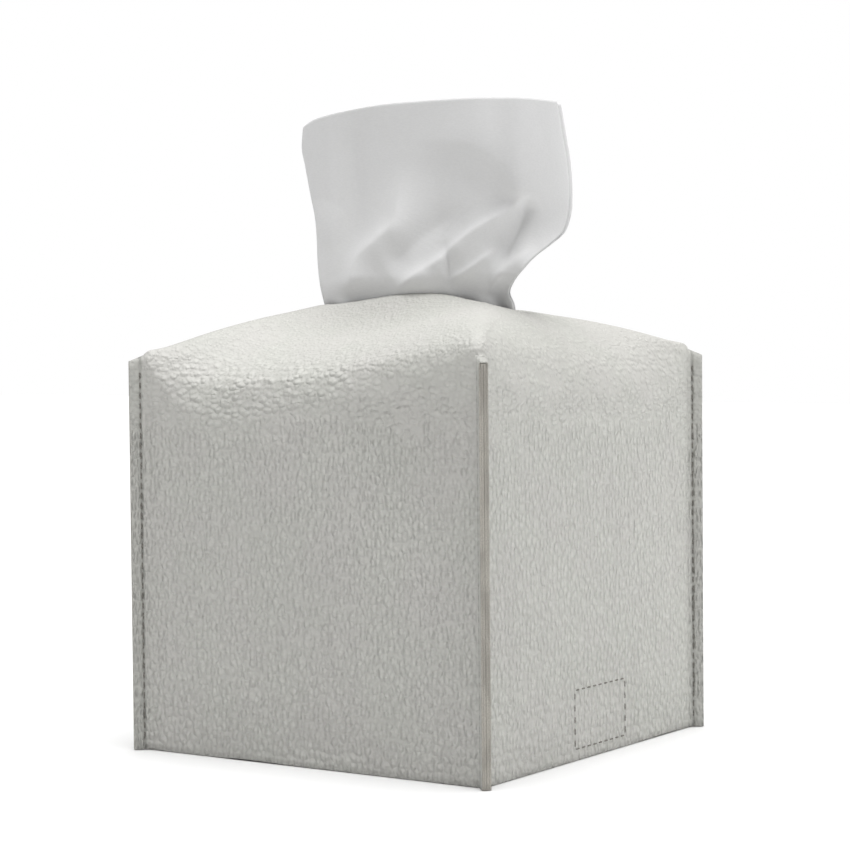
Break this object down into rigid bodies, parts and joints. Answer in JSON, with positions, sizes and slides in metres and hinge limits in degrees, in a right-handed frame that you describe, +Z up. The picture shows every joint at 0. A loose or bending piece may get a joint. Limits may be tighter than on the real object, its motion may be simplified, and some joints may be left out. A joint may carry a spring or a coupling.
{
  "type": "tissue box cover",
  "caption": "Square soft-leather cover with outward corner seams, a domed slotted top and a magnet belt underneath, over a carton of tissues with one raised.",
  "frame": {"origin": "middle of the underside, on the surface that the cover stands on", "axes": "+Z up, +X towards the face with the stitched rectangle that the picture shows, -Y towards the picture's other face; the slot runs along X"},
  "size_m": [0.137, 0.137, 0.2073],
  "materials": {
    "leather": "off-white pebbled grain, satin",
    "backing": "brushed backing, matte",
    "thread": "off-white sewing thread",
    "belt_leather": "off-white pebbled grain, satin",
    "magnet": "nickel plated",
    "carton_board": "plain pale paperboard, matte",
    "film": "clear thin film",
    "tissue": "soft white paper tissue, matte"
  },
  "bodies": {
    "cover": {"cover_leather": "leather", "cover_backing": "backing", "corner_stitch_back_right": "thread", "corner_stitch_back_left": "thread", "corner_stitch_front_left": "thread", "corner_stitch_front_right": "thread", "strap_anchor": "belt_leather", "strap_box_stitch": "thread", "tab_lower_ply": "belt_leather", "tab_upper_ply": "belt_leather", "tab_magnet": "magnet", "tab_edge_stitch": "thread", "tab_anchor": "belt_leather", "tab_box_stitch": "thread", "carton": "carton_board", "carton_film": "film", "tissue_stack": "tissue"},
    "strap": {"strap_lower_ply": "belt_leather", "strap_upper_ply": "belt_leather", "strap_magnet": "magnet", "strap_edge_stitch": "thread"},
    "tissue": {"tissue": "tissue"}
  },
  "joints": [
    {"name": "strap_hinge", "type": "hinge", "parent": "cover", "child": "strap", "pos_m": [0.0621, 0.003, 0.0016], "axis": [0, -1, 0], "range_deg": [0, 90]},
    {"name": "tissue_pull", "type": "slide", "parent": "cover", "child": "tissue", "axis": [0, 0, 1], "range_m": [0, 0.04]}
  ]
}
